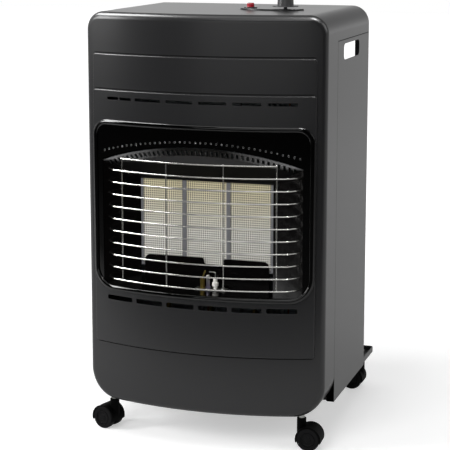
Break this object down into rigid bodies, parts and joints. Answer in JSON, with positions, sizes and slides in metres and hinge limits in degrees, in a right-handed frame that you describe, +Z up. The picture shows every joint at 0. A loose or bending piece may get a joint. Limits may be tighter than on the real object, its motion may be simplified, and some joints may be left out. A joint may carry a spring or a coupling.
{
  "type": "portable gas cabinet heater",
  "caption": "Upright sheet-steel cabinet heater on swivelling castors, with ceramic radiant plaques behind a bowed wire guard, a gas knob and igniter on top, and a cylinder bay behind.",
  "frame": {"origin": "on the floor, in the middle of the overall width and depth", "axes": "+X to the heater's left-hand side as it faces the room, which is the right as seen from the front; -Y is the front, towards the room; +Z up"},
  "size_m": [0.42, 0.4524, 0.7513],
  "materials": {
    "cabinet_paint": "satin powder coat, dark grey",
    "surround_enamel": "gloss black enamel",
    "reflector_steel": "bright rolled stainless sheet",
    "burner_steel": "matt stainless sheet",
    "plaque_ceramic": "unglazed perforated cordierite",
    "insulator_ceramic": "glazed alumina",
    "guard_chrome": "bright chrome plate",
    "zinc_steel": "zinc plated",
    "galvanised_sheet": "galvanised sheet",
    "fitting_brass": "machined brass",
    "pipe_aluminium": "drawn aluminium pipe",
    "lead_copper": "copper sheathed lead",
    "valve_casting": "die casting",
    "lead_rubber": "silicone sleeved lead",
    "castor_plastic": "black nylon",
    "wheel_plastic": "dark grey nylon",
    "escutcheon_plastic": "black moulded plastic",
    "knob_plastic": "dark grey moulded plastic",
    "knob_cap_plastic": "light grey moulded plastic",
    "button_plastic": "red moulded plastic"
  },
  "bodies": {
    "cabinet": {"front_fascia": "cabinet_paint", "top_cover": "cabinet_paint", "left_side_panel": "cabinet_paint", "right_side_panel": "cabinet_paint", "base_tray": "cabinet_paint", "heat_shield": "galvanised_sheet", "cabinet_screws": "zinc_steel", "fire_surround": "surround_enamel", "reflector_top": "reflector_steel", "reflector_floor": "reflector_steel", "reflector_left": "reflector_steel", "reflector_right": "reflector_steel", "burner_frame": "burner_steel", "ceramic_plaques": "plaque_ceramic", "burner_bodies": "burner_steel", "lower_baffle": "burner_steel", "injector_rail": "galvanised_sheet", "injectors": "fitting_brass", "pilot_bracket": "zinc_steel", "pilot_burner": "fitting_brass", "spark_electrode": "zinc_steel", "spark_insulator": "insulator_ceramic", "thermocouple": "zinc_steel", "pilot_pipe": "pipe_aluminium", "thermocouple_lead": "lead_copper", "igniter_lead": "lead_rubber", "guard_wires": "guard_chrome", "guard_uprights": "guard_chrome", "control_escutcheon": "escutcheon_plastic", "igniter_body": "escutcheon_plastic", "gas_valve": "valve_casting", "valve_bracket": "galvanised_sheet", "hose_tail": "fitting_brass", "burner_pipe_left": "pipe_aluminium", "burner_pipe_middle": "pipe_aluminium", "burner_pipe_right": "pipe_aluminium", "pipe_nuts": "fitting_brass", "castor_stems": "zinc_steel", "castor_nuts": "zinc_steel"},
    "castor_front_left": {"castor_hood_front_left": "castor_plastic", "castor_axle_front_left": "zinc_steel"},
    "wheel_front_left_a": {"castor_wheel_front_left_a": "wheel_plastic"},
    "wheel_front_left_b": {"castor_wheel_front_left_b": "wheel_plastic"},
    "castor_front_right": {"castor_hood_front_right": "castor_plastic", "castor_axle_front_right": "zinc_steel"},
    "wheel_front_right_a": {"castor_wheel_front_right_a": "wheel_plastic"},
    "wheel_front_right_b": {"castor_wheel_front_right_b": "wheel_plastic"},
    "castor_rear_left": {"castor_hood_rear_left": "castor_plastic", "castor_axle_rear_left": "zinc_steel"},
    "wheel_rear_left_a": {"castor_wheel_rear_left_a": "wheel_plastic"},
    "wheel_rear_left_b": {"castor_wheel_rear_left_b": "wheel_plastic"},
    "castor_rear_right": {"castor_hood_rear_right": "castor_plastic", "castor_axle_rear_right": "zinc_steel"},
    "wheel_rear_right_a": {"castor_wheel_rear_right_a": "wheel_plastic"},
    "wheel_rear_right_b": {"castor_wheel_rear_right_b": "wheel_plastic"},
    "knob_stem": {"spindle_collar": "fitting_brass"},
    "knob": {"control_knob": "knob_plastic", "knob_cap": "knob_cap_plastic", "valve_spindle": "fitting_brass"},
    "igniter": {"igniter_button": "button_plastic"}
  },
  "joints": [
    {"name": "front_left_swivel", "type": "hinge", "parent": "cabinet", "child": "castor_front_left", "pos_m": [-0.17, -0.16075, 0.02], "axis": [0, 0, 1], "continuous": true},
    {"name": "front_left_wheel_a", "type": "hinge", "parent": "castor_front_left", "child": "wheel_front_left_a", "pos_m": [-0.18352, -0.15713, 0.02], "axis": [0.2588, 0.9659, 0], "continuous": true},
    {"name": "front_left_wheel_b", "type": "hinge", "parent": "castor_front_left", "child": "wheel_front_left_b", "pos_m": [-0.18352, -0.15713, 0.02], "axis": [0.2588, 0.9659, 0], "continuous": true},
    {"name": "front_right_swivel", "type": "hinge", "parent": "cabinet", "child": "castor_front_right", "pos_m": [0.17, -0.16075, 0.02], "axis": [0, 0, 1], "continuous": true},
    {"name": "front_right_wheel_a", "type": "hinge", "parent": "castor_front_right", "child": "wheel_front_right_a", "pos_m": [0.18398, -0.16002, 0.02], "axis": [0.0523, -0.9986, 0], "continuous": true},
    {"name": "front_right_wheel_b", "type": "hinge", "parent": "castor_front_right", "child": "wheel_front_right_b", "pos_m": [0.18398, -0.16002, 0.02], "axis": [0.0523, -0.9986, 0], "continuous": true},
    {"name": "rear_left_swivel", "type": "hinge", "parent": "cabinet", "child": "castor_rear_left", "pos_m": [-0.19, 0.19825, 0.02], "axis": [0, 0, 1], "continuous": true},
    {"name": "rear_left_wheel_a", "type": "hinge", "parent": "castor_rear_left", "child": "wheel_rear_left_a", "pos_m": [-0.17684, 0.19346, 0.02], "axis": [-0.342, -0.9397, 0], "continuous": true},
    {"name": "rear_left_wheel_b", "type": "hinge", "parent": "castor_rear_left", "child": "wheel_rear_left_b", "pos_m": [-0.17684, 0.19346, 0.02], "axis": [-0.342, -0.9397, 0], "continuous": true},
    {"name": "rear_right_swivel", "type": "hinge", "parent": "cabinet", "child": "castor_rear_right", "pos_m": [0.19, 0.19825, 0.02], "axis": [0, 0, 1], "continuous": true},
    {"name": "rear_right_wheel_a", "type": "hinge", "parent": "castor_rear_right", "child": "wheel_rear_right_a", "pos_m": [0.176, 0.19825, 0.02], "axis": [0, 1, 0], "continuous": true},
    {"name": "rear_right_wheel_b", "type": "hinge", "parent": "castor_rear_right", "child": "wheel_rear_right_b", "pos_m": [0.176, 0.19825, 0.02], "axis": [0, 1, 0], "continuous": true},
    {"name": "knob_press", "type": "slide", "parent": "cabinet", "child": "knob_stem", "axis": [0, 0, -1], "range_m": [0, 0.003], "stiffness_N_per_m": 800},
    {"name": "knob_turn", "type": "hinge", "parent": "knob_stem", "child": "knob", "pos_m": [0.104, -0.04375, 0.731], "axis": [0, 0, 1], "range_deg": [0, 225]},
    {"name": "igniter_press", "type": "slide", "parent": "cabinet", "child": "igniter", "axis": [0, 0, -1], "range_m": [0, 0.006], "stiffness_N_per_m": 900}
  ]
}
